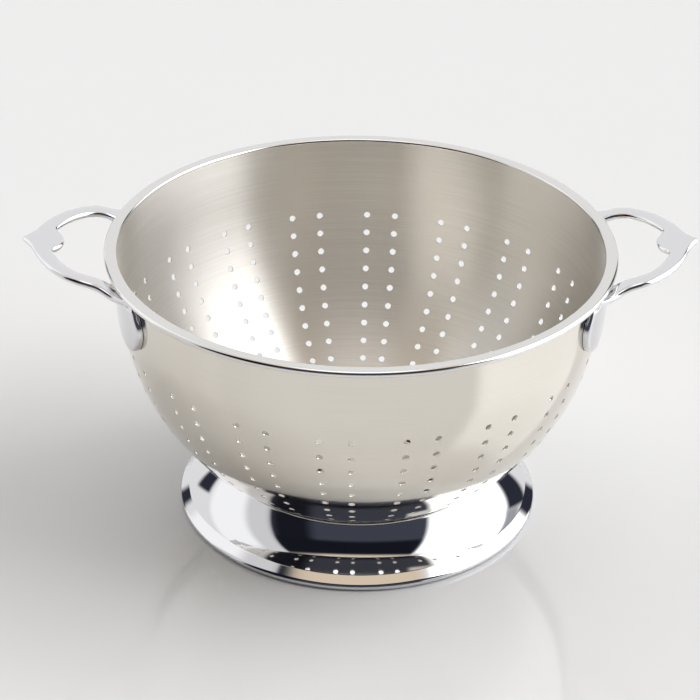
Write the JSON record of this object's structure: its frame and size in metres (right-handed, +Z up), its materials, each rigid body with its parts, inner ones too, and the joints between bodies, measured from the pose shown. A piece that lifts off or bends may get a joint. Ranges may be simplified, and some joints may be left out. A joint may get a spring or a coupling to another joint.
{
  "type": "footed colander",
  "caption": "Round metal strainer bowl with paired columns of drain holes, a rolled rim, two looped side handles on pads and a flared foot ring.",
  "frame": {"origin": "middle of the foot on the surface that it stands on", "axes": "+Z up along the bowl's axis, +X towards the right handle, handles along X"},
  "size_m": [0.3682, 0.28, 0.1643],
  "materials": {
    "bowl_steel": "satin brushed inside, polished outside",
    "foot_steel": "mirror polished",
    "handle_steel": "polished casting",
    "weld_steel": "as welded"
  },
  "bodies": {
    "root": {"bowl": "bowl_steel", "foot_ring": "foot_steel", "right_handle": "handle_steel", "left_handle": "handle_steel", "foot_welds": "weld_steel", "right_handle_welds": "weld_steel", "left_handle_welds": "weld_steel"}
  },
  "joints": []
}
